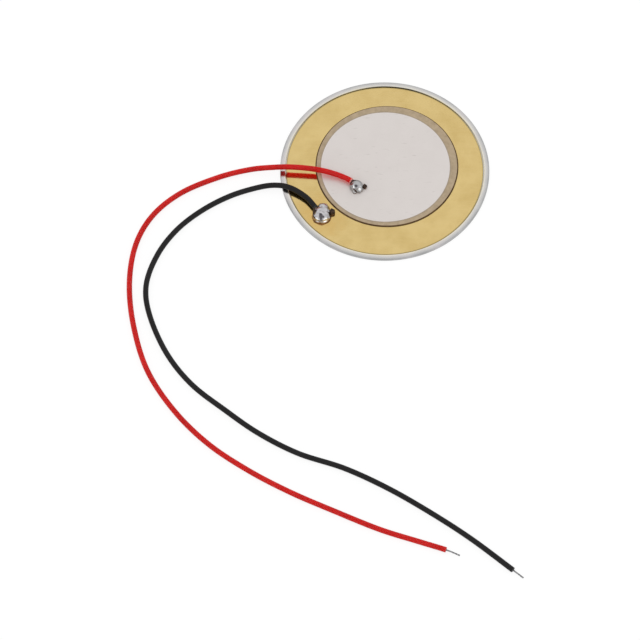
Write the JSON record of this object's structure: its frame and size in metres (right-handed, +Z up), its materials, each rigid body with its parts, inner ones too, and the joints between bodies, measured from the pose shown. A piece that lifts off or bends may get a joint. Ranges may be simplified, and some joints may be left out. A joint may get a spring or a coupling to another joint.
{
  "type": "piezo disc",
  "caption": "Round piezo bender: a silvered ceramic disc bonded to a brass plate in a thin metal ring, with a red and a black hook-up lead soldered on.",
  "frame": {"origin": "centre of the holder ring's underside, on the surface that the disc lies on", "axes": "+Z up, out of the silvered ceramic's face; +X to the right when the leads' free ends lie towards the viewer; +Y away from the leads' free ends"},
  "size_m": [0.0695, 0.1023, 0.0022],
  "materials": {
    "ring": "polished",
    "brass": "satin",
    "bond": "gloss",
    "silver": "matte",
    "ceramic": "matte",
    "solder": "polished",
    "flux": "gloss",
    "core": "satin",
    "red_pvc": "satin",
    "black_pvc": "satin"
  },
  "bodies": {
    "root": {"rim_ring": "ring", "brass_plate": "brass", "bond_layer": "bond", "rear_electrode": "silver", "ceramic_disc": "ceramic", "front_electrode": "silver", "red_solder": "solder", "black_solder": "solder", "red_flux_bead": "flux", "black_flux_bead": "flux", "red_conductor": "core", "red_insulation": "red_pvc", "black_conductor": "core", "black_insulation": "black_pvc"}
  },
  "joints": []
}
